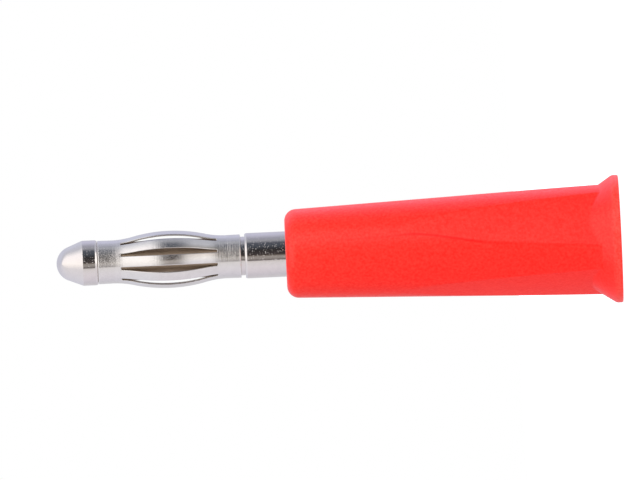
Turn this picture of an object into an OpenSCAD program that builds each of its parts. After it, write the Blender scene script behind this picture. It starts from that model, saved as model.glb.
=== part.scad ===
// Banana plug for 4 mm sockets: a turned contact pin that carries a rolled spring
// basket, held in a soft tapered insulating sleeve with a flared cable end.
// It stands on the flared end. The origin is the centre of that end face, and +Z
// runs along the axis to the nose. All sizes are in millimetres.

/* [Insulating sleeve] */
// Length from the flared end face to the front face
sleeve_len = 25.8; // [22:0.1:32]
// Diameter of the taper at the front face, before its edge is rounded
sleeve_front_d = 6.78; // [6.6:0.02:7.4]
// Diameter of the taper where it meets the flare
sleeve_rear_d = 8.50; // [7.8:0.02:9.2]
// Radius of the rounded front edge
front_round = 0.90; // [0.3:0.05:0.9]
// Number of finger flats around the sleeve
flat_count = 4; // [2:1:6]
// Radius of a flat's slight crown, across it
flat_crown_r = 22; // [12:1:60]
// Distance from the axis to the middle of a flat
flat_dist = 3.72; // [3.6:0.01:4]
// Outer diameter of the lip at the cable end
lip_d = 9.84; // [9.4:0.02:11]
// Length of the lip
lip_len = 0.49; // [0.3:0.01:1]
// Rounding of the lip's edges
lip_round = 0.12; // [0.05:0.01:0.14]
// Half angle of the flare between the lip and the taper
flare_angle = 33.3; // [25:0.1:45]
// Diameter of the trumpet mouth at the cable end
mouth_d = 7.4; // [6:0.1:8]
// Depth of the trumpet mouth
mouth_len = 5.0; // [3:0.1:7]
// Diameter of the cable passage
passage_d = 3.8; // [3:0.1:4.2]

/* [Contact body, inside the sleeve] */
// Diameter of the body
body_d = 4.70; // [4.5:0.02:4.8]
// Length of the body, flush with the sleeve's front face
body_len = 14.0; // [11:0.1:16]
// Chamfer on the body's two ends
body_chamfer = 0.15; // [0.05:0.01:0.3]
// Radial clearance of the body in the sleeve's bore
body_clearance = 0.05; // [0.02:0.01:0.08]
// Gap between the body's rear end and the ledge in the sleeve
ledge_gap = 0.05; // [0.02:0.01:0.2]
// Number of grip grooves turned in the body
grip_count = 3; // [1:1:4]
// Width of a grip groove
grip_w = 0.6; // [0.3:0.05:0.7]
// Depth of a grip groove
grip_depth = 0.2; // [0.1:0.01:0.3]
// Spacing of the grip grooves
grip_pitch = 1.4; // [1:0.1:1.6]
// Distance from the body's front end to the first groove
grip_from_front = 1.2; // [0.8:0.1:1.5]
// Diameter of the wire bore
wire_d = 1.8; // [1.4:0.05:2]
// Depth of the wire bore's straight wall
wire_depth = 8.0; // [6:0.1:9]
// Countersink at the mouth of the wire bore
wire_chamfer = 0.2; // [0.05:0.05:0.3]
// Point angle of the drill that made the wire bore
drill_angle = 118; // [90:1:140]

/* [Clamp screw] */
// Diameter over the thread
screw_d = 2.0; // [1.6:0.05:2.2]
// Radial clearance of the screw in its hole
screw_clearance = 0.03; // [0.02:0.01:0.05]
// Distance from the body's rear end to the screw's axis
screw_from_rear = 4.2; // [3:0.1:5]
// Gap left between the screw and the wire bore, and between its corners and the body's surface
screw_gap = 0.03; // [0.01:0.01:0.1]
// Chamfer on the screw's two ends
screw_chamfer = 0.12; // [0.05:0.01:0.2]
// Width of the driver slot
driver_w = 0.36; // [0.25:0.01:0.5]
// Depth of the driver slot
driver_depth = 0.45; // [0.3:0.01:0.6]

/* [Contact pin, outside the sleeve] */
// Diameter of the shank between the sleeve and the basket
shank_d = 3.49; // [3.3:0.01:3.7]
// Length of the shank
shank_len = 3.13; // [2:0.01:5]
// Diameter of the spindle inside the basket
spindle_d = 2.98; // [2.6:0.01:3.05]
// Diameter of the collar that keeps the basket on
collar_d = 3.47; // [3.3:0.01:3.7]
// Length of the collar
collar_len = 1.03; // [0.8:0.01:2]
// Chamfer on the shank's and the collar's edges that face the basket
edge_chamfer = 0.04; // [0.02:0.01:0.1]
// Half angle of the nose cone
nose_angle = 22; // [18:0.5:30]
// Radius of the nose's round tip
nose_r = 1.30; // [1:0.01:1.5]

/* [Spring basket] */
// Length of the basket
basket_len = 11.0; // [10:0.05:14]
// Total axial play between the shank and the collar
basket_play = 0.38; // [0.1:0.01:0.6]
// Share of that play at the collar, as a gap
basket_front_gap = 0.04; // [0.02:0.01:0.08]
// Radial clearance on the spindle
basket_clearance = 0.02; // [0.01:0.01:0.05]
// Thickness of the sheet
sheet_t = 0.15; // [0.1:0.01:0.2]
// Diameter over the relaxed leaves at their crown
crown_d = 4.43; // [4.1:0.01:4.8]
// Length of the leaves' bulge
bulge_len = 8.85; // [8:0.05:9.6]
// Share of the bulge's slope that the crown's arc takes, the rest being the two end arcs
crown_share = 0.627; // [0.5:0.01:0.75]
// Number of leaves
leaf_count = 10; // [6:1:12]
// Width of the slots between the leaves, at their ends
slot_w = 0.12; // [0.08:0.01:0.2]
// Length of the slots
slot_len = 7.43; // [6:0.01:8]
// Growth of the two bands' radius towards the basket's ends, left by the rolling
band_flare = 0.015; // [0.01:0.005:0.05]
// Width of the seam where the rolled sheet's edges face each other
seam_w = 0.10; // [0.06:0.01:0.2]
// Direction of the seam around the axis, in degrees from +X
seam_turn = 44.2; // [0:0.1:360]

/* [Hidden] */
$fn = 96;
// Overlap of a cut past the face it starts from
cut = 0.5;
// Straight pieces in one rounded stretch of an outline
arc_steps = 10;
// Sides of a flat's wide circle, so that its crown stays smooth
flat_fn = 360;

lip_r = lip_d / 2;
rear_r = sleeve_rear_d / 2;
front_r = sleeve_front_d / 2;
flare_slope = tan(flare_angle);
flare_root_z = lip_len + (lip_r - rear_r) / flare_slope;
taper_angle = atan((rear_r - front_r) / (sleeve_len - flare_root_z));
// The flare runs inwards under the flats, so that they end on it in a curve
flare_cover = 0.3;
flare_inner_r = flat_dist - flare_cover;
flare_top_z = lip_len + (lip_r - flare_inner_r) / flare_slope;

body_r = body_d / 2;
bore_r = body_r + body_clearance;
body_rear_z = sleeve_len - body_len;
ledge_z = body_rear_z - ledge_gap;
wire_r = wire_d / 2;

screw_r = screw_d / 2;
screw_hole_r = screw_r + screw_clearance;
screw_z = body_rear_z + screw_from_rear;
screw_tip_x = wire_r + screw_gap;
screw_end_x = sqrt(pow(body_r - screw_gap, 2) - pow(screw_r - screw_chamfer, 2));
screw_len = screw_end_x - screw_tip_x;

shoulder_z = sleeve_len + shank_len;
collar_z = shoulder_z + basket_len + basket_play;
nose_base_z = collar_z + collar_len;
collar_r = collar_d / 2;
shank_r = shank_d / 2;
spindle_r = spindle_d / 2;
nose_centre_z = nose_base_z + (collar_r - nose_r * cos(nose_angle)) / tan(nose_angle)
    - nose_r * sin(nose_angle);

basket_z = collar_z - basket_front_gap - basket_len;
basket_mid = basket_len / 2;
band_in_r = spindle_r + basket_clearance;
band_r = band_in_r + sheet_t;
crown_r = crown_d / 2;
// Three arcs that touch each other make the bulge: crown in the middle, valley at each end
bulge_tilt = 2 * atan((crown_r - band_r) / (bulge_len / 2));
arcs_r = bulge_len / 2 / sin(bulge_tilt);
crown_arc_r = arcs_r * crown_share;
valley_arc_r = arcs_r - crown_arc_r;
leaf_pitch = 360 / leaf_count;

// Points along an arc about [x, y], from angle a to angle b
function arc(x, y, r, a, b) =
    [for (i = [0:arc_steps]) let (t = a + (b - a) * i / arc_steps) [x + r * cos(t), y + r * sin(t)]];

// One face of the bulged sheet, from the rear end to the front. depth is how far the face
// lies below the sheet's outer face, along the sheet's own normal.
function sheet_face(depth) = concat(
    [[band_r + band_flare - depth, 0]],
    arc(band_r + valley_arc_r, basket_mid - bulge_len / 2, valley_arc_r + depth, 180, 180 - bulge_tilt),
    arc(crown_r - crown_arc_r, basket_mid, crown_arc_r - depth, -bulge_tilt, bulge_tilt),
    arc(band_r + valley_arc_r, basket_mid + bulge_len / 2, valley_arc_r + depth, 180 + bulge_tilt, 180),
    [[band_r + band_flare - depth, basket_len]]);

function reversed(list) = [for (i = [len(list) - 1:-1:0]) list[i]];

// Outline of the tapered sleeve from inside the flare to its rounded front edge
module taper_outline() {
    round_z = sleeve_len - front_round;
    round_r = front_r + front_round * tan(taper_angle) - front_round / cos(taper_angle);
    base_r = rear_r + (flare_root_z - lip_len) * tan(taper_angle);
    polygon(concat(
        [[0, lip_len], [base_r, lip_len]],
        arc(round_r, round_z, front_round, taper_angle, 90),
        [[0, sleeve_len]]));
}

// Outline of the flared cable end with its lip
module flare_outline() {
    polygon(concat(
        [[0, 0]],
        arc(lip_r - lip_round, lip_round, lip_round, -90, 0),
        arc(lip_r - lip_round, lip_len - lip_round, lip_round, 0, 90 - flare_angle),
        [[flare_inner_r, flare_top_z], [0, flare_top_z]]));
}

// Column with slightly crowned sides, which leaves the finger flats on the taper
module flats_column() {
    intersection_for (i = [0:flat_count - 1])
        rotate([0, 0, i * 360 / flat_count]) translate([flat_dist - flat_crown_r, 0, 0])
            cylinder(r = flat_crown_r, h = sleeve_len + cut, $fn = flat_fn);
}

// Outline of the hollow: trumpet mouth, cable passage, ledge and the body's bore
module sleeve_hollow_outline() {
    passage_r = passage_d / 2;
    rise = mouth_d / 2 - passage_r;
    trumpet_r = (mouth_len * mouth_len + rise * rise) / (2 * rise);
    sweep = asin(mouth_len / trumpet_r);
    polygon(concat(
        [[0, -cut], [mouth_d / 2, -cut]],
        arc(passage_r + trumpet_r, mouth_len, trumpet_r, 180 + sweep, 180),
        [[passage_r, ledge_z], [bore_r, ledge_z], [bore_r, sleeve_len + cut], [0, sleeve_len + cut]]));
}

module insulating_sleeve() {
    color([0.98, 0.16, 0.14])
    difference() {
        union() {
            intersection() {
                rotate_extrude() taper_outline();
                flats_column();
            }
            rotate_extrude() flare_outline();
        }
        rotate_extrude() sleeve_hollow_outline();
    }
}

// Outline of the one-piece turned pin, from the wire end to the nose
module pin_outline() {
    grips = [for (i = [grip_count - 1:-1:0])
        let (top = sleeve_len - grip_from_front - i * grip_pitch, root_r = body_r - grip_depth)
        each [[body_r, top - grip_w], [root_r, top - grip_w], [root_r, top], [body_r, top]]];
    polygon(concat(
        [[0, body_rear_z], [body_r - body_chamfer, body_rear_z], [body_r, body_rear_z + body_chamfer]],
        grips,
        [[body_r, sleeve_len - body_chamfer], [body_r - body_chamfer, sleeve_len], [shank_r, sleeve_len]],
        [[shank_r, shoulder_z - edge_chamfer], [shank_r - edge_chamfer, shoulder_z]],
        [[spindle_r, shoulder_z], [spindle_r, collar_z]],
        [[collar_r - edge_chamfer, collar_z], [collar_r, collar_z + edge_chamfer]],
        [[collar_r, nose_base_z]],
        arc(0, nose_centre_z, nose_r, nose_angle, 90)));
}

// Outline of the drilled wire bore, with its countersink and drill point
module wire_bore_outline() {
    polygon([
        [0, -cut], [wire_r + wire_chamfer + cut, -cut], [wire_r, wire_chamfer],
        [wire_r, wire_depth], [0, wire_depth + wire_r / tan(drill_angle / 2)]]);
}

module contact_pin() {
    color([0.80, 0.79, 0.80])
    difference() {
        rotate_extrude() pin_outline();
        translate([0, 0, body_rear_z]) rotate_extrude() wire_bore_outline();
        translate([0, 0, screw_z]) rotate([0, 90, 0]) cylinder(r = screw_hole_r, h = body_r + cut);
    }
}

// Gap between two leaves: as wide as the slot on the bands, and wider over the bulge,
// so that each leaf keeps its width
module slot_outline() {
    far_r = crown_r + cut;
    far_half = slot_w / 2 + (far_r - band_r) * tan(leaf_pitch / 2);
    near_r = band_in_r - cut;
    polygon([
        [near_r, -slot_w / 2], [band_r, -slot_w / 2], [far_r, -far_half],
        [far_r, far_half], [band_r, slot_w / 2], [near_r, slot_w / 2]]);
}

module contact_basket() {
    color([0.84, 0.83, 0.84])
    translate([0, 0, basket_z]) rotate([0, 0, seam_turn])
    difference() {
        rotate_extrude() polygon(concat(sheet_face(0), reversed(sheet_face(sheet_t))));
        for (i = [0:leaf_count - 1])
            rotate([0, 0, i * leaf_pitch]) translate([0, 0, basket_mid - slot_len / 2])
                linear_extrude(slot_len) slot_outline();
        translate([band_in_r - cut, -seam_w / 2, -cut])
            cube([crown_r - band_in_r + 2 * cut, seam_w, basket_len + 2 * cut]);
    }
}

// Slotted set screw, lying along +X with its tip at the wire bore
module clamp_screw() {
    color([0.74, 0.73, 0.72])
    translate([screw_tip_x, 0, screw_z])
    difference() {
        rotate([0, 90, 0]) rotate_extrude() polygon([
            [0, 0], [screw_r - screw_chamfer, 0], [screw_r, screw_chamfer],
            [screw_r, screw_len - screw_chamfer], [screw_r - screw_chamfer, screw_len], [0, screw_len]]);
        translate([screw_len - driver_depth, -driver_w / 2, -screw_r - cut])
            cube([driver_depth + cut, driver_w, 2 * screw_r + 2 * cut]);
    }
}

insulating_sleeve();
contact_pin();
contact_basket();
clamp_screw();
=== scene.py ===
"""Looks of a banana plug: a soft red sleeve and a nickel-plated spring pin, standing on its flared end."""

import math

import bpy
from mathutils import Matrix, Vector


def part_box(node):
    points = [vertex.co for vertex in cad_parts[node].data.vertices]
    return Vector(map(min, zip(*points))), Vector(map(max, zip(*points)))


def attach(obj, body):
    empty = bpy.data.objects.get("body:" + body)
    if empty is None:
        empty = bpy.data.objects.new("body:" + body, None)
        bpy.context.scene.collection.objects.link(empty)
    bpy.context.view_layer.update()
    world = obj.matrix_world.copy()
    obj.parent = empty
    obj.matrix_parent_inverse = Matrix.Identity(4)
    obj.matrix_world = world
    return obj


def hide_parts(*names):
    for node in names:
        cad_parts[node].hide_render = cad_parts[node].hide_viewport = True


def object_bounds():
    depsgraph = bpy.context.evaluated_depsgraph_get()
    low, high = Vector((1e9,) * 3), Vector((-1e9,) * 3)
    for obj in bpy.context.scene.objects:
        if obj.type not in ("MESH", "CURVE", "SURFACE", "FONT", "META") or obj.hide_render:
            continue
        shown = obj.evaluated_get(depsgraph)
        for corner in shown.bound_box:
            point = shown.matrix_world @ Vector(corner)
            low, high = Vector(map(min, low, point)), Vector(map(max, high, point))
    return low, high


MM = 0.001

# The photograph's frame, in pixels, and its scale
IMAGE_W = 640
IMAGE_H = 480
PIXELS_PER_MM = 12.986
# Pixel column of the flared end face, on the plug's axis
END_COLUMN = 620.4
# Pixel row of the plug's axis at the middle column
AXIS_ROW = 252.4
# Tilt of the axis in the picture, right end up
PICTURE_TILT = math.radians(2.64)
# Direction from the plug to the camera, around Z from +X
VIEW_TURN = math.radians(-116.5)
# Metres from the plug to the camera
CAMERA_DISTANCE = 1.25

# Sleeve, in millimetres
SLEEVE_FRONT_R = 3.39
SLEEVE_REAR_R = 4.25
FRONT_ROUND = 0.90
LIP_LEN = 0.49
LIP_ROUND = 0.13
FLARE_SLOPE = math.tan(math.radians(33.3))
FLATS = 4
FLAT_CROWN_R = 22.0
FLAT_DIST = 3.72
# How far the edges of the flats, the flare and the bore are rounded
FLAT_EDGE = 0.03
FLARE_EDGE = 0.06
BORE_EDGE = 0.05
MOUTH_R = 3.7
MOUTH_LEN = 5.0
PASSAGE_R = 1.9
LEDGE_Z = 11.75
BORE_R = 2.4

# Contact pin, in millimetres
BODY_R = 2.35
BODY_REAR_Z = 11.8
BODY_CHAMFER = 0.15
GRIP_COUNT = 3
GRIP_W = 0.6
GRIP_DEPTH = 0.2
GRIP_PITCH = 1.4
GRIP_FROM_FRONT = 1.2
WIRE_R = 0.9
WIRE_DEPTH = 8.0
WIRE_CHAMFER = 0.2
DRILL_SLOPE = math.tan(math.radians(59.0))
SCREW_HOLE_R = 1.03
SCREW_Z = 16.0
# The drill for that hole starts just beside the axis and is turned by half a segment, so that none of
# its edges falls on an edge of the wire bore
DRILL_START = 0.01
DRILL_SEGMENTS = 64
SHANK_R = 1.745
SHOULDER_Z = 28.93
SPINDLE_R = 1.49
COLLAR_R = 1.735
COLLAR_Z = 40.31
NOSE_BASE_Z = 41.45
NOSE_R = 1.366
NOSE_ANGLE = math.radians(22.0)
# A height just past the tip
PAST_TIP_Z = COLLAR_Z + 4.0
# Chamfers at the shank's and the collar's ends, by depth and length
SHANK_CHAMFER = (0.055, 0.14)
COLLAR_CHAMFER = (0.06, 0.15)
# Rounding of the turned edges
EDGE_ROUND = 0.03

# Spring basket, in millimetres
BASKET_LEN = 11.0
SHEET_T = 0.15
BAND_R = 1.66
BAND_FLARE = 0.015
CROWN_R = 2.215
BULGE_LEN = 8.85
CROWN_SHARE = 0.627
LEAVES = 10
SLOT_W = 0.19
SLOT_LEN = 7.43
SLOT_LOW = BASKET_LEN / 2 - SLOT_LEN / 2
SLOT_HIGH = BASKET_LEN / 2 + SLOT_LEN / 2
ROLL_TURN = math.radians(44.2)
CUT_EDGE = 0.05

# Fineness of the meshes: steps around and along, then lengths of steps in millimetres
SLEEVE_SEGMENTS = 360
PIN_SEGMENTS = 192
CORNER_STEPS = 4
FRONT_STEPS = 12
TRUMPET_STEPS = 16
NOSE_STEPS = 24
LEAF_COLUMNS = 12
FLARE_STEP = 0.07
SIDE_STEP = 0.22
BAND_STEP = 0.15
LEAF_STEP = 0.10
# Height up to which the sleeve has the flare's finer steps
FINE_TO_Z = 4.0
# A radius below this one lies on the axis
ON_AXIS = 1e-9
# Edges that bend more than this stay sharp
SHARP_ANGLE = math.radians(35.0)

# Light from the surroundings, by direction around the plug's axis: degrees from the camera's side,
# upwards in the picture, and colour. Square to the axis it is dark from the camera's side to well above
STUDIO_MIDDLE = [
    (-180, (0.62, 0.62, 0.70)),
    (-150, (0.70, 0.69, 0.73)),
    (-120, (0.68, 0.66, 0.74)),
    (-90, (0.78, 0.74, 0.82)),
    (-60, (0.84, 0.80, 0.86)),
    (-40, (0.81, 0.78, 0.81)),
    (-30, (0.74, 0.70, 0.70)),
    (-26, (0.18, 0.16, 0.16)),
    (-23, (0.18, 0.16, 0.16)),
    (-19, (0.32, 0.29, 0.28)),
    (-8, (0.38, 0.35, 0.33)),
    (-3, (0.20, 0.17, 0.15)),
    (2, (0.064, 0.052, 0.052)),
    (27, (0.034, 0.032, 0.034)),
    (45, (0.072, 0.082, 0.102)),
    (64, (0.10, 0.11, 0.142)),
    (78, (0.36, 0.37, 0.42)),
    (96, (0.39, 0.40, 0.49)),
    (112, (0.54, 0.55, 0.69)),
    (130, (0.64, 0.65, 0.84)),
    (180, (0.62, 0.62, 0.70)),
]
# Towards the tip, white in front and above
STUDIO_TIP = [
    (-180, (0.66, 0.67, 0.78)),
    (-120, (0.78, 0.78, 0.88)),
    (-40, (0.86, 0.84, 0.89)),
    (-18, (1.10, 1.05, 1.05)),
    (0, (1.26, 1.21, 1.20)),
    (56, (1.20, 1.15, 1.19)),
    (70, (0.98, 0.97, 1.02)),
    (92, (0.64, 0.65, 0.74)),
    (130, (0.68, 0.71, 0.86)),
    (180, (0.66, 0.67, 0.78)),
]
# Towards the cable, white in front and grey above
STUDIO_CABLE = [
    (-180, (0.66, 0.66, 0.76)),
    (-100, (0.80, 0.77, 0.85)),
    (-34, (0.81, 0.77, 0.81)),
    (-17, (0.90, 0.87, 0.92)),
    (0, (1.03, 0.99, 0.98)),
    (17, (0.90, 0.82, 0.78)),
    (38, (0.40, 0.37, 0.36)),
    (50, (0.38, 0.37, 0.37)),
    (67, (0.58, 0.59, 0.66)),
    (110, (0.52, 0.54, 0.62)),
    (130, (0.65, 0.66, 0.80)),
    (180, (0.66, 0.66, 0.76)),
]
# Farther towards the cable, white above too
STUDIO_FAR = [
    (-180, (0.66, 0.66, 0.76)),
    (-100, (0.80, 0.77, 0.85)),
    (-34, (0.81, 0.77, 0.81)),
    (-10, (1.00, 0.96, 0.98)),
    (2, (1.50, 1.46, 1.46)),
    (54, (1.50, 1.46, 1.46)),
    (72, (0.60, 0.60, 0.68)),
    (130, (0.65, 0.66, 0.80)),
    (180, (0.66, 0.66, 0.76)),
]
# Where the middle passes into each of these, as the share of a direction that lies along the axis
TIP_EDGE = (0.09, 0.19)
CABLE_EDGE = (-0.09, -0.28)
FAR_EDGE = (-0.50, -0.58)

# Soft lights for the sleeve alone: direction from it, by turn around the axis and lean towards the tip
# in degrees, then width and length in metres, and brightness
SLEEVE_LIGHTS = {
    "key": (38, 0, 0.19, 0.30, (3.25, 3.25, 3.25)),
    "rim": (122, 14, 0.30, 0.40, (0.68, 0.85, 1.32)),
    "side": (16, 60, 0.45, 0.25, (2.3, 2.3, 2.3)),
}
LIGHT_DISTANCE = 0.30

# Floor, in metres: half its width, and how far below the plug it lies
FLOOR_HALF = 0.6
FLOOR_DROP = 0.00002
FLOOR_GREY = 0.9
FLOOR_GLOW = 0.6

# Vinyl: sizes of spots and depths of bumps, in millimetres
VINYL_DARK = (0.71, 0.011, 0.0065)
VINYL_LIGHT = (0.75, 0.0245, 0.0165)
VINYL_MOTTLE = 0.2
VINYL_SPECULAR = 0.12
VINYL_ROUGHNESS = (0.28, 0.38)
VINYL_ROUGH_SPOTS = 0.3
SKIN_SIZE = 0.16
SKIN_DEPTH = 0.010
WAVES_SIZE = 0.7
WAVES_DEPTH = 0.008
# Painted shadow line along the lower edge of the flat that faces -Y, in place of the shade in a thin
# crease: height in millimetres, turn down from the flat's middle in degrees, and how strongly it shows
CREASE_SHADOW_LINE = [
    (1.6, 31.2, 0.0),
    (2.2, 31.0, 0.25),
    (5.4, 28.8, 0.20),
    (8.1, 27.0, 0.20),
    (10.4, 23.6, 0.40),
    (11.6, 20.3, 0.85),
    (13.1, 16.0, 1.0),
    (14.4, 12.4, 0.85),
    (15.4, 10.3, 0.9),
    (16.1, 9.5, 0.9),
    (16.9, 10.0, 0.6),
    (18.0, 11.3, 0.3),
    (21.6, 11.9, 0.25),
    (23.0, 11.9, 0.0),
]
# Half width of the painted shadow line, and the colour that darkens the red along it
CREASE_HALF_W = math.radians(2.3)
CREASE_SHADE = (0.93, 0.05, 0.05)

# Nickel plating: colours, and sizes of spots in millimetres
NICKEL = (0.825, 0.79, 0.76)
SPRING_NICKEL = (0.842, 0.825, 0.794)
# Darker brown for the spindle inside the basket: painted shade
NICKEL_PAINTED_SHADE = (0.52, 0.41, 0.30)
SCREW_STEEL = (0.70, 0.68, 0.66)
TONE_SPOTS = 0.5
TONE_RANGE = (0.95, 1.0)
ROUGH_PATCHES = 0.12
ROUGH_RANGE = (0.75, 1.25)
MARKS_SIZE = 0.06
# How much longer the brushing's marks are around the axis than along it
MARKS_STRETCH = 60
SPECKS_SIZE = 0.10
# Noise values between which a speck rises
SPECKS_EDGE = (0.62, 0.78)
# How far inside the basket's ends the hidden spindle turns rough and takes its painted shade
HIDDEN_INSET = 0.08
# How far outside and inside the slots' ends the bands' finish passes into the leaves'
BAND_BLEND = (0.2, 0.6)
# Noise values between which a texture passes from one colour to the other
NOISE_RANGE = (0.3, 0.7)

WHITE = (1, 1, 1, 1)

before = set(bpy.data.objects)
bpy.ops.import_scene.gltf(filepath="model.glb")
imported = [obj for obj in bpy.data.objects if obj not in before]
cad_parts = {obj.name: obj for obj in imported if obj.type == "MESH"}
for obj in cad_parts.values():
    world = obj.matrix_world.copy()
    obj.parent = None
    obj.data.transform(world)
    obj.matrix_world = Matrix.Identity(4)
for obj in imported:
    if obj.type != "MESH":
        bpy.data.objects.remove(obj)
cad_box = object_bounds()
scene = bpy.context.scene
sleeve_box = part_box("insulating_sleeve")
LIP_R = sleeve_box[1].x / MM
SLEEVE_LEN = sleeve_box[1].z / MM
BASKET_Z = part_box("contact_basket")[0].z / MM

# Painted light on the sleeve's red, by height in millimetres: much paler at the thin lip, where light
# shines through it, and paler towards the front, lit from the tip's side
VINYL_PAINTED_LIGHT = [
    (0, (1.04, 2.6, 3.0)),
    (0.40, (1.04, 2.4, 2.7)),
    (0.75, (1.06, 1.12, 1.2)),
    (2.4, (1.06, 1.05, 1.1)),
    (3, (1.06, 1, 1)),
    (10, (1.05, 1.02, 1.0)),
    (20, (1, 1.15, 1.12)),
    (23, (1, 1.25, 1.2)),
    (SLEEVE_LEN, (1, 1.45, 1.45)),
]


def studio_axes():
    """The camera's right, up and back, and the direction across the plug that is up in the picture."""
    back = Vector((math.cos(VIEW_TURN), math.sin(VIEW_TURN), 0))
    along = Vector((0, 0, -1))
    across = back.cross(along)
    right = along * math.cos(PICTURE_TILT) - across * math.sin(PICTURE_TILT)
    up = along * math.sin(PICTURE_TILT) + across * math.cos(PICTURE_TILT)
    return right, up, back, across


RIGHT, UP, BACK, ACROSS = studio_axes()


def make_camera():
    """A long lens at the photograph's viewing angle, rolled so that the plug lies across the picture."""
    middle_z = (END_COLUMN - IMAGE_W / 2) / PIXELS_PER_MM / math.cos(PICTURE_TILT)
    lift = (AXIS_ROW - IMAGE_H / 2) / PIXELS_PER_MM
    target = Vector((0, 0, middle_z * MM)) + UP * lift * MM / math.cos(PICTURE_TILT)
    data = bpy.data.cameras.new("camera")
    data.sensor_width = 36.0
    data.lens = data.sensor_width * CAMERA_DISTANCE / (IMAGE_W / PIXELS_PER_MM * MM)
    data.clip_start = 0.05
    data.clip_end = 20.0
    camera = bpy.data.objects.new("camera", data)
    scene.collection.objects.link(camera)
    turn = Matrix((RIGHT, UP, BACK)).transposed().to_4x4()
    camera.matrix_world = Matrix.Translation(target + BACK * CAMERA_DISTANCE) @ turn
    scene.camera = camera


def add_node(tree, kind, **settings):
    """A new shader node with some of its settings."""
    node = tree.nodes.new("ShaderNode" + kind)
    for name, value in settings.items():
        setattr(node, name, value)
    return node


def connect(tree, source, socket):
    """Gives a socket another node's output, or a constant."""
    if isinstance(source, bpy.types.NodeSocket):
        tree.links.new(source, socket)
    else:
        socket.default_value = source


def feed(tree, node, *sources):
    """Gives a node's first inputs their sources and returns its first output."""
    for socket, source in zip(node.inputs, sources):
        connect(tree, source, socket)
    return node.outputs[0]


def calculate(tree, operation, *sources):
    """Result of a calculation with numbers."""
    return feed(tree, add_node(tree, "Math", operation=operation), *sources)


def multiply(tree, first, second):
    """Product of two colours or vectors."""
    return feed(tree, add_node(tree, "VectorMath", operation="MULTIPLY"), first, second)


def dot(tree, vector, direction):
    """How far a vector points in a direction."""
    node = add_node(tree, "VectorMath", operation="DOT_PRODUCT")
    feed(tree, node, vector, direction)
    return node.outputs["Value"]


def map_range(tree, value, low, high, start=0.0, end=1.0, **settings):
    """A value carried over from the range low to high to the range start to end."""
    return feed(tree, add_node(tree, "MapRange", **settings), value, low, high, start, end)


def with_alpha(colour):
    """A colour with its alpha. A single number stands for a grey."""
    return (*colour, 1) if isinstance(colour, tuple) else (colour, colour, colour, 1)


def ramp(tree, position, stops):
    """Colour ramp through (position, colour) stops."""
    node = add_node(tree, "ValToRGB")
    elements = node.color_ramp.elements
    while len(elements) < len(stops):
        elements.new(1.0)
    for element, (place, colour) in zip(elements, stops):
        element.position = place
        element.color = with_alpha(colour)
    return feed(tree, node, position)


def mix_colours(tree, share, first, second):
    """Mix of two colours."""
    node = add_node(tree, "Mix", data_type="RGBA")
    for name, source in (("Factor_Float", share), ("A_Color", first), ("B_Color", second)):
        connect(tree, source, next(s for s in node.inputs if s.identifier == name))
    return next(s for s in node.outputs if s.identifier == "Result_Color")


def studio_ramp(tree, place, stops):
    """Light by direction around the plug's axis."""
    return ramp(tree, place, [((degrees + 180) / 360, colour) for degrees, colour in stops])


def make_world():
    """White surroundings, with a dark band on the camera's side for the metal to mirror."""
    world = bpy.data.worlds.new("studio")
    scene.world = world
    world.use_nodes = True
    tree = world.node_tree
    direction = add_node(tree, "TexCoord").outputs["Generated"]
    angle = calculate(tree, "ARCTAN2", dot(tree, direction, ACROSS), dot(tree, direction, BACK))
    place = map_range(tree, angle, -math.pi, math.pi)
    along = dot(tree, direction, (0, 0, 1))
    light = studio_ramp(tree, place, STUDIO_MIDDLE)
    for stops, edge in ((STUDIO_TIP, TIP_EDGE), (STUDIO_CABLE, CABLE_EDGE), (STUDIO_FAR, FAR_EDGE)):
        share = map_range(tree, along, *edge, interpolation_type="SMOOTHSTEP")
        light = mix_colours(tree, share, light, studio_ramp(tree, place, stops))
    seen = add_node(tree, "LightPath").outputs["Is Camera Ray"]
    tree.links.new(mix_colours(tree, seen, light, WHITE), tree.nodes["Background"].inputs["Color"])
    scene.view_settings.view_transform = "Standard"


def light_sleeve(sleeve):
    """Soft lights that reach the sleeve alone: the metal mirrors the dark band in their place."""
    receivers = bpy.data.collections.new("sleeve_light")
    receivers.objects.link(sleeve)
    middle = Vector((0, 0, SLEEVE_LEN * MM / 2))
    for name, (turn, lean, width, length, colour) in SLEEVE_LIGHTS.items():
        data = bpy.data.lights.new(name, "AREA")
        data.shape = "RECTANGLE"
        data.size = width
        data.size_y = length
        # With this power, the colour is the brightness of the light's face
        data.energy = math.pi * width * length
        data.color = colour
        light = bpy.data.objects.new(name, data)
        scene.collection.objects.link(light)
        aside = Matrix.Rotation(math.radians(turn), 3, "Z") @ BACK
        towards = aside * math.cos(math.radians(lean)) + Vector((0, 0, math.sin(math.radians(lean))))
        across = Vector((0, 0, 1)).cross(aside)
        axes = Matrix((across, towards.cross(across), towards)).transposed().to_4x4()
        light.matrix_world = Matrix.Translation(middle + towards * LIGHT_DISTANCE) @ axes
        light.light_linking.receiver_collection = receivers


def new_material(name):
    """A new material with one surface shader: the material, its node tree and the shader."""
    material = bpy.data.materials.new(name)
    material.use_nodes = True
    tree = material.node_tree
    tree.nodes.clear()
    out = add_node(tree, "OutputMaterial")
    shader = add_node(tree, "BsdfPrincipled")
    tree.links.new(shader.outputs["BSDF"], out.inputs["Surface"])
    return material, tree, shader


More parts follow.
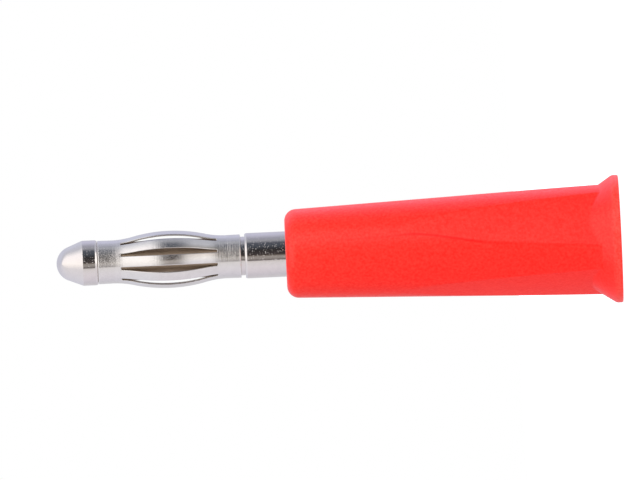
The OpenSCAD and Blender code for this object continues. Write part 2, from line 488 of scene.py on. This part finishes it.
def make_floor():
    """A pale floor under the plug, which the metal does not mirror."""
    mesh = bpy.data.meshes.new("floor")
    low, high = -FLOOR_HALF, FLOOR_HALF
    mesh.from_pydata([(low, low, 0), (high, low, 0), (high, high, 0), (low, high, 0)], [], [(0, 1, 2, 3)])
    floor = bpy.data.objects.new("floor", mesh)
    scene.collection.objects.link(floor)
    floor.location.z = cad_box[0].z - FLOOR_DROP
    material, _, shader = new_material("floor_white")
    shader.inputs["Base Color"].default_value = with_alpha(FLOOR_GREY)
    shader.inputs["Roughness"].default_value = 0.9
    shader.inputs["Emission Color"].default_value = WHITE
    shader.inputs["Emission Strength"].default_value = FLOOR_GLOW
    mesh.materials.append(material)
    floor.visible_glossy = False


def place_on_plug(tree):
    """The X, Y and Z outputs of a point's place on the plug, in metres."""
    parts = add_node(tree, "SeparateXYZ")
    feed(tree, parts, add_node(tree, "TexCoord").outputs["Object"])
    return parts.outputs


def along_axis(tree, stops):
    """Colour that changes along the plug's axis, through (height in millimetres, colour) stops."""
    low = stops[0][0]
    high = stops[-1][0]
    share = map_range(tree, place_on_plug(tree)["Z"], low * MM, high * MM)
    return ramp(tree, share, [((z - low) / (high - low), colour) for z, colour in stops])


def grain(tree, size, detail=2.0, stretch=(1, 1, 1)):
    """Noise with spots of about this size, in millimetres, longer where stretch is larger than 1."""
    place = add_node(tree, "TexCoord").outputs["Object"]
    noise = add_node(tree, "TexNoise")
    tree.links.new(multiply(tree, place, [1 / (size * MM * s) for s in stretch]), noise.inputs["Vector"])
    noise.inputs["Scale"].default_value = 1.0
    noise.inputs["Detail"].default_value = detail
    return noise.outputs["Fac"]


def spots(tree, size, first, second):
    """Spots of about this size, in millimetres, that pass from one colour to another."""
    return ramp(tree, grain(tree, size), list(zip(NOISE_RANGE, (first, second))))


def bump(tree, height, depth, below=None, strength=None):
    """Bump of this depth, in millimetres, on top of another, and weaker where a strength says so."""
    node = add_node(tree, "Bump")
    node.inputs["Strength"].default_value = 1.0
    node.inputs["Distance"].default_value = depth * MM
    tree.links.new(height, node.inputs["Height"])
    if strength:
        tree.links.new(strength, node.inputs["Strength"])
    if below:
        tree.links.new(below, node.inputs["Normal"])
    return node.outputs["Normal"]


def painted_crease_shadow(tree):
    """How strongly the painted shadow line along the crease on the sleeve shows, from 0 to 1."""
    place = place_on_plug(tree)
    towards_flat = calculate(tree, "MULTIPLY", place["Y"], -1.0)
    turn = calculate(tree, "ARCTAN2", place["X"], towards_flat)
    line = along_axis(tree, [(z, math.radians(down)) for z, down, _ in CREASE_SHADOW_LINE])
    off = calculate(tree, "ADD", turn, line)
    across = map_range(tree, off, -CREASE_HALF_W, CREASE_HALF_W)
    mark = ramp(tree, across, [(0, 0), (0.5, 1), (1, 0)])
    return multiply(tree, mark, along_axis(tree, [(z, shows) for z, _, shows in CREASE_SHADOW_LINE]))


def red_plastic():
    """Soft red vinyl with a fine moulded grain, painted light along its length and a painted shadow line
    along one crease.
    """
    material, tree, shader = new_material("soft_red_vinyl")
    red = spots(tree, VINYL_MOTTLE, VINYL_DARK, VINYL_LIGHT)
    # Painted light: the red is made paler at the lip and towards the front
    red_with_painted_light = multiply(tree, red, along_axis(tree, VINYL_PAINTED_LIGHT))
    # Painted shade: a dark line along the crease
    shade = ramp(tree, painted_crease_shadow(tree), [(0, 1), (1, CREASE_SHADE)])
    tree.links.new(multiply(tree, red_with_painted_light, shade), shader.inputs["Base Color"])
    shader.inputs["Specular IOR Level"].default_value = VINYL_SPECULAR
    rough = map_range(tree, grain(tree, VINYL_ROUGH_SPOTS), *NOISE_RANGE, *VINYL_ROUGHNESS)
    tree.links.new(rough, shader.inputs["Roughness"])
    skin = bump(tree, grain(tree, SKIN_SIZE, 1.0), SKIN_DEPTH)
    waves = bump(tree, grain(tree, WAVES_SIZE, 1.0), WAVES_DEPTH, skin)
    tree.links.new(waves, shader.inputs["Normal"])
    return material


def nickel(name, tones, roughness, brushing, marks_depth, specks_depth, marks=None):
    """Bright nickel plating, brushed around the axis, with fine specks.

    Tones, roughness and the strength of the marks are (height in millimetres, value) stops.
    """
    material, tree, shader = new_material(name)
    tone = multiply(tree, along_axis(tree, tones), spots(tree, TONE_SPOTS, *TONE_RANGE))
    tree.links.new(tone, shader.inputs["Base Color"])
    shader.inputs["Metallic"].default_value = 1.0
    rough = multiply(tree, along_axis(tree, roughness), spots(tree, ROUGH_PATCHES, *ROUGH_RANGE))
    tree.links.new(rough, shader.inputs["Roughness"])
    shader.inputs["Anisotropic"].default_value = brushing
    shader.inputs["Anisotropic Rotation"].default_value = 0.25
    around = add_node(tree, "Tangent", direction_type="RADIAL", axis="Z")
    tree.links.new(around.outputs["Tangent"], shader.inputs["Tangent"])
    lines = grain(tree, MARKS_SIZE, 1.0, (MARKS_STRETCH, MARKS_STRETCH, 1))
    strength = along_axis(tree, marks) if marks else None
    brushed = bump(tree, lines, marks_depth, strength=strength)
    specks = ramp(tree, grain(tree, SPECKS_SIZE, 1.0), list(zip(SPECKS_EDGE, (0, 1))))
    tree.links.new(bump(tree, specks, specks_depth, brushed), shader.inputs["Normal"])
    return material


def along_pin(shank, hidden, nose):
    """Stops along the pin: values behind the basket, inside it and in front of it."""
    return [
        (BODY_REAR_Z, shank),
        (BASKET_Z, shank),
        (BASKET_Z + HIDDEN_INSET, hidden),
        (BASKET_Z + BASKET_LEN - HIDDEN_INSET, hidden),
        (COLLAR_Z, nose),
        (PAST_TIP_Z, nose),
    ]


def along_basket(band, leaf):
    """Stops along the basket: values on its bands and on its leaves."""
    outside, inside = BAND_BLEND
    return [
        (BASKET_Z, band),
        (BASKET_Z + SLOT_LOW - outside, band),
        (BASKET_Z + SLOT_LOW + inside, leaf),
        (BASKET_Z + SLOT_HIGH - inside, leaf),
        (BASKET_Z + SLOT_HIGH + outside, band),
        (BASKET_Z + BASKET_LEN, band),
    ]


def along_body(value):
    """Stops that keep one value along the pin's body."""
    return [(BODY_REAR_Z, value), (SLEEVE_LEN, value)]


def soft_min(a, b, width):
    """The smaller of two lengths, with the change between them rounded over a width."""
    share = min(max(0.5 + 0.5 * (b - a) / width, 0.0), 1.0)
    return b + (a - b) * share - width * share * (1 - share)


def arc(centre_r, centre_z, radius, start, end, steps):
    """Points along an arc in an outline, with angles in radians from the outward direction."""
    angles = [start + (end - start) * i / steps for i in range(steps + 1)]
    return [(centre_r + radius * math.cos(a), centre_z + radius * math.sin(a)) for a in angles]


def rounded(corners):
    """An outline with its (r, z, rounding) corners rounded."""
    points = []
    for i, (r, z, size) in enumerate(corners):
        here = Vector((r, z))
        if not size or i in (0, len(corners) - 1):
            points.append((r, z))
            continue
        before = (Vector(corners[i - 1][:2]) - here).normalized()
        after = (Vector(corners[i + 1][:2]) - here).normalized()
        for step in range(CORNER_STEPS + 1):
            t = step / CORNER_STEPS
            spot = here + before * size * (1 - t) ** 2 + after * size * t ** 2
            points.append((spot.x, spot.y))
    return points


def spread(start, end, step):
    """Evenly spaced values from start to end, about a step apart."""
    count = max(1, round((end - start) / step))
    return [start + (end - start) * i / count for i in range(count + 1)]


def revolve(outline, segments, radius_at=None, closed=False):
    """Vertices and faces of an outline turned around Z. Points on the axis become one vertex."""
    vertices, faces, rings = [], [], []
    for r, z in outline:
        if r < ON_AXIS:
            rings.append([len(vertices)] * segments)
            vertices.append((0, 0, z))
            continue
        rings.append(list(range(len(vertices), len(vertices) + segments)))
        for i in range(segments):
            turn = 2 * math.pi * i / segments
            reach = radius_at(turn, r, z) if radius_at else r
            vertices.append((reach * math.cos(turn), reach * math.sin(turn), z))
    pairs = list(zip(rings, rings[1:]))
    if closed:
        pairs.append((rings[-1], rings[0]))
    for low, high in pairs:
        for i in range(segments):
            j = (i + 1) % segments
            corners = [low[i], low[j], high[j], high[i]]
            faces.append(list(dict.fromkeys(corners)))
    return vertices, faces


def new_object(name, vertices, faces):
    """An object from vertices in millimetres, not yet at its real scale."""
    mesh = bpy.data.meshes.new(name)
    mesh.from_pydata(vertices, [], faces)
    mesh.update()
    made = bpy.data.objects.new(name, mesh)
    scene.collection.objects.link(made)
    return made


def apply_modifiers(made):
    """Turns an object's modifiers into mesh."""
    graph = bpy.context.evaluated_depsgraph_get()
    mesh = bpy.data.meshes.new_from_object(made.evaluated_get(graph))
    made.modifiers.clear()
    made.data = mesh


def finish_piece(made, material, body, node):
    """Brings a piece to its real size, gives it its finish and puts it in place of a CAD node."""
    made.data.transform(Matrix.Scale(MM, 4))
    made.data.shade_smooth()
    made.data.set_sharp_from_angle(angle=SHARP_ANGLE)
    normals = made.modifiers.new("normals", "WEIGHTED_NORMAL")
    normals.keep_sharp = True
    normals.weight = 100
    apply_modifiers(made)
    made.data.materials.clear()
    made.data.materials.append(material)
    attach(made, body)
    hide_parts(node)


def flare_radius(z):
    """Radius of the flare at a height."""
    return LIP_R - (z - LIP_LEN) * FLARE_SLOPE


def flat_radius(off):
    """Radius of a slightly crowned flat, at an angle from its middle."""
    lean = FLAT_CROWN_R - FLAT_DIST
    return math.sqrt(FLAT_CROWN_R ** 2 - (lean * math.sin(off)) ** 2) - lean * math.cos(off)


def sleeve_radius(turn, taper, z):
    """Radius of the sleeve's outside: the taper, cut by the flats and widened by the flare."""
    side = 2 * math.pi / FLATS
    off = (turn + side / 2) % side - side / 2
    radius = soft_min(taper, flat_radius(off), FLAT_EDGE)
    return -soft_min(-radius, -flare_radius(z), FLARE_EDGE)


def sleeve_inside(face_r):
    """The sleeve's inside, from the front face by the bore, ledge and passage to the trumpet mouth."""
    rise = MOUTH_R - PASSAGE_R
    trumpet_r = (MOUTH_LEN ** 2 + rise ** 2) / (2 * rise)
    sweep = math.asin(MOUTH_LEN / trumpet_r)
    bore = rounded([
        (face_r, SLEEVE_LEN, 0),
        (BORE_R, SLEEVE_LEN, BORE_EDGE),
        (BORE_R, LEDGE_Z, 0),
        (PASSAGE_R, LEDGE_Z, BORE_EDGE),
        (PASSAGE_R, MOUTH_LEN, 0),
    ])
    mouth = arc(PASSAGE_R + trumpet_r, MOUTH_LEN, trumpet_r, math.pi, math.pi + sweep, TRUMPET_STEPS)
    return bore[1:] + mouth[1:]


def make_sleeve():
    """The moulded sleeve: taper, finger flats, flared end, trumpet mouth and stepped bore."""
    flare_root = LIP_LEN + (LIP_R - SLEEVE_REAR_R) / FLARE_SLOPE
    slope = (SLEEVE_REAR_R - SLEEVE_FRONT_R) / (SLEEVE_LEN - flare_root)
    lean = math.atan(slope)
    round_z = SLEEVE_LEN - FRONT_ROUND
    round_r = SLEEVE_FRONT_R + FRONT_ROUND * slope - FRONT_ROUND / math.cos(lean)
    lip = rounded([
        (MOUTH_R, 0, 0),
        (LIP_R, 0, LIP_ROUND),
        (LIP_R, LIP_LEN, LIP_ROUND),
        (SLEEVE_REAR_R, flare_root, 0),
    ])[1:-1]
    top_z = round_z + FRONT_ROUND * math.sin(lean)
    heights = spread(lip[-1][1], FINE_TO_Z, FLARE_STEP)[1:] + spread(FINE_TO_Z, top_z, SIDE_STEP)[1:-1]
    sides = [(SLEEVE_REAR_R - (z - flare_root) * slope, z) for z in heights]
    front = arc(round_r, round_z, FRONT_ROUND, lean, math.pi / 2, FRONT_STEPS)
    outline = lip + sides + front + sleeve_inside(front[-1][0])
    side_heights = set(heights)

    def radius_at(turn, r, z):
        return sleeve_radius(turn, r, z) if z in side_heights and r > BORE_R else r

    shape = revolve(outline, SLEEVE_SEGMENTS, radius_at, closed=True)
    made = new_object("insulating_sleeve_moulded", *shape)
    light_sleeve(made)
    finish_piece(made, red_plastic(), "sleeve", "insulating_sleeve")


def pin_corners():
    """Corners of the turned pin's outline, from the bottom of the wire bore round to the nose."""
    wire_end = BODY_REAR_Z + WIRE_DEPTH
    corners = [
        (0, wire_end + WIRE_R / DRILL_SLOPE, 0),
        (WIRE_R, wire_end, 0),
        (WIRE_R, BODY_REAR_Z + WIRE_CHAMFER, 0),
        (WIRE_R + WIRE_CHAMFER, BODY_REAR_Z, 0),
        (BODY_R - BODY_CHAMFER, BODY_REAR_Z, EDGE_ROUND),
        (BODY_R, BODY_REAR_Z + BODY_CHAMFER, EDGE_ROUND),
    ]
    for i in reversed(range(GRIP_COUNT)):
        top = SLEEVE_LEN - GRIP_FROM_FRONT - i * GRIP_PITCH
        root = BODY_R - GRIP_DEPTH
        corners += [(BODY_R, top - GRIP_W, EDGE_ROUND), (root, top - GRIP_W, EDGE_ROUND)]
        corners += [(root, top, EDGE_ROUND), (BODY_R, top, EDGE_ROUND)]
    return corners + [
        (BODY_R, SLEEVE_LEN - BODY_CHAMFER, EDGE_ROUND),
        (BODY_R - BODY_CHAMFER, SLEEVE_LEN, EDGE_ROUND),
        (SHANK_R, SLEEVE_LEN, 0),
        (SHANK_R, SHOULDER_Z - SHANK_CHAMFER[1], EDGE_ROUND),
        (SHANK_R - SHANK_CHAMFER[0], SHOULDER_Z, EDGE_ROUND),
        (SPINDLE_R, SHOULDER_Z, 0),
        (SPINDLE_R, COLLAR_Z, 0),
        (COLLAR_R - COLLAR_CHAMFER[0], COLLAR_Z, EDGE_ROUND),
        (COLLAR_R, COLLAR_Z + COLLAR_CHAMFER[1], EDGE_ROUND),
        (COLLAR_R, NOSE_BASE_Z, 2 * EDGE_ROUND),
    ]


def drill_screw_hole(pin):
    """Drills the clamp screw's hole through the pin's side, into its wire bore."""
    end = 2 * BODY_R
    outline = [(0, DRILL_START), (SCREW_HOLE_R, DRILL_START), (SCREW_HOLE_R, end), (0, end)]
    hole = new_object("screw_hole", *revolve(outline, DRILL_SEGMENTS))
    half_step = Matrix.Rotation(math.pi / DRILL_SEGMENTS, 4, "Z")
    aim = Matrix.Rotation(math.pi / 2, 4, "Y")
    hole.matrix_world = Matrix.Translation((0, 0, SCREW_Z)) @ aim @ half_step
    drill = pin.modifiers.new("drill", "BOOLEAN")
    drill.operation = "DIFFERENCE"
    drill.solver = "EXACT"
    drill.object = hole
    apply_modifiers(pin)
    bpy.data.objects.remove(hole)


def make_pin():
    """The one-piece turned pin, rough and painted a darker brown for shade where the basket hides it."""
    tip_r = NOSE_R * math.cos(NOSE_ANGLE)
    nose_z = NOSE_BASE_Z + (COLLAR_R - tip_r) / math.tan(NOSE_ANGLE) - NOSE_R * math.sin(NOSE_ANGLE)
    nose = arc(0, nose_z, NOSE_R, NOSE_ANGLE, math.pi / 2, NOSE_STEPS)
    outline = rounded(pin_corners() + [(*nose[0], 0)])[:-1] + nose[:-1] + [(0, nose[-1][1])]
    made = new_object("contact_pin_turned", *revolve(outline, PIN_SEGMENTS))
    drill_screw_hole(made)
    finish = nickel(
        "nickel_turned",
        tones=along_pin(NICKEL, NICKEL_PAINTED_SHADE, NICKEL),
        roughness=along_pin(0.07, 0.5, 0.09),
        brushing=0.0,
        marks_depth=0.001,
        specks_depth=0.004,
    )
    finish_piece(made, finish, "pin", "contact_pin")


def sheet_radius(z):
    """Outer radius of the basket's sheet: two bands and, between them, three arcs that touch."""
    half = BULGE_LEN / 2
    tilt = 2 * math.atan((CROWN_R - BAND_R) / half)
    arcs_r = half / math.sin(tilt)
    crown = arcs_r * CROWN_SHARE
    valley = arcs_r - crown
    off = abs(z - BASKET_LEN / 2)
    if off > half:
        return BAND_R + BAND_FLARE * (off - half) / (BASKET_LEN / 2 - half)
    if off > crown * math.sin(tilt):
        return BAND_R + valley - math.sqrt(valley ** 2 - (half - off) ** 2)
    return CROWN_R - crown + math.sqrt(crown ** 2 - off ** 2)


def rolled_sheet():
    """Vertices and faces of the basket's outer side: leaves joined along the bands, but not at the seam."""
    pitch = 2 * math.pi / LEAVES
    heights = spread(0, SLOT_LOW, BAND_STEP) + spread(SLOT_LOW, SLOT_HIGH, LEAF_STEP)[1:]
    heights += spread(SLOT_HIGH, BASKET_LEN, BAND_STEP)[1:]
    vertices, faces = [], []
    for leaf in range(LEAVES):
        for z in heights:
            radius = sheet_radius(z)
            held = sheet_radius(min(max(z, SLOT_LOW), SLOT_HIGH))
            gap = math.asin((SLOT_W / 2 + max(0, held - BAND_R) * math.tan(pitch / 2)) / held)
            for i in range(LEAF_COLUMNS + 1):
                turn = ROLL_TURN + leaf * pitch + gap + (pitch - 2 * gap) * i / LEAF_COLUMNS
                vertices.append((radius * math.cos(turn), radius * math.sin(turn), BASKET_Z + z))

    def corner(leaf, row, column):
        return (leaf * len(heights) + row) * (LEAF_COLUMNS + 1) + column

    for leaf in range(LEAVES):
        for row in range(len(heights) - 1):
            for i in range(LEAF_COLUMNS):
                faces.append((
                    corner(leaf, row, i), corner(leaf, row, i + 1),
                    corner(leaf, row + 1, i + 1), corner(leaf, row + 1, i)))
            on_band = heights[row + 1] <= SLOT_LOW or heights[row] >= SLOT_HIGH
            if on_band and leaf < LEAVES - 1:
                faces.append((
                    corner(leaf, row, LEAF_COLUMNS), corner(leaf + 1, row, 0),
                    corner(leaf + 1, row + 1, 0), corner(leaf, row + 1, LEAF_COLUMNS)))
    return vertices, faces


def make_basket():
    """The rolled spring basket: ten leaves between two bands, open along one seam."""
    made = new_object("contact_basket_rolled", *rolled_sheet())
    sheet = made.modifiers.new("sheet", "SOLIDIFY")
    sheet.thickness = SHEET_T
    sheet.offset = -1
    sheet.use_even_offset = True
    edges = made.modifiers.new("edges", "BEVEL")
    edges.width = CUT_EDGE
    edges.segments = 3
    edges.limit_method = "ANGLE"
    edges.angle_limit = math.radians(50)
    apply_modifiers(made)
    finish = nickel(
        "nickel_spring",
        tones=along_basket(SPRING_NICKEL, SPRING_NICKEL),
        roughness=along_basket(0.20, 0.15),
        brushing=0.72,
        marks_depth=0.0075,
        specks_depth=0.001,
        marks=along_basket(1.0, 0.18),
    )
    finish_piece(made, finish, "basket", "contact_basket")


def dress_screw():
    """Gives the clamp screw its finish."""
    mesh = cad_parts["clamp_screw"].data
    mesh.materials.clear()
    finish = nickel(
        "nickel_screw",
        tones=along_body(SCREW_STEEL),
        roughness=along_body(0.25),
        brushing=0.0,
        marks_depth=0.003,
        specks_depth=0.004,
    )
    mesh.materials.append(finish)


make_camera()
make_world()
make_floor()
make_sleeve()
make_pin()
make_basket()
dress_screw()
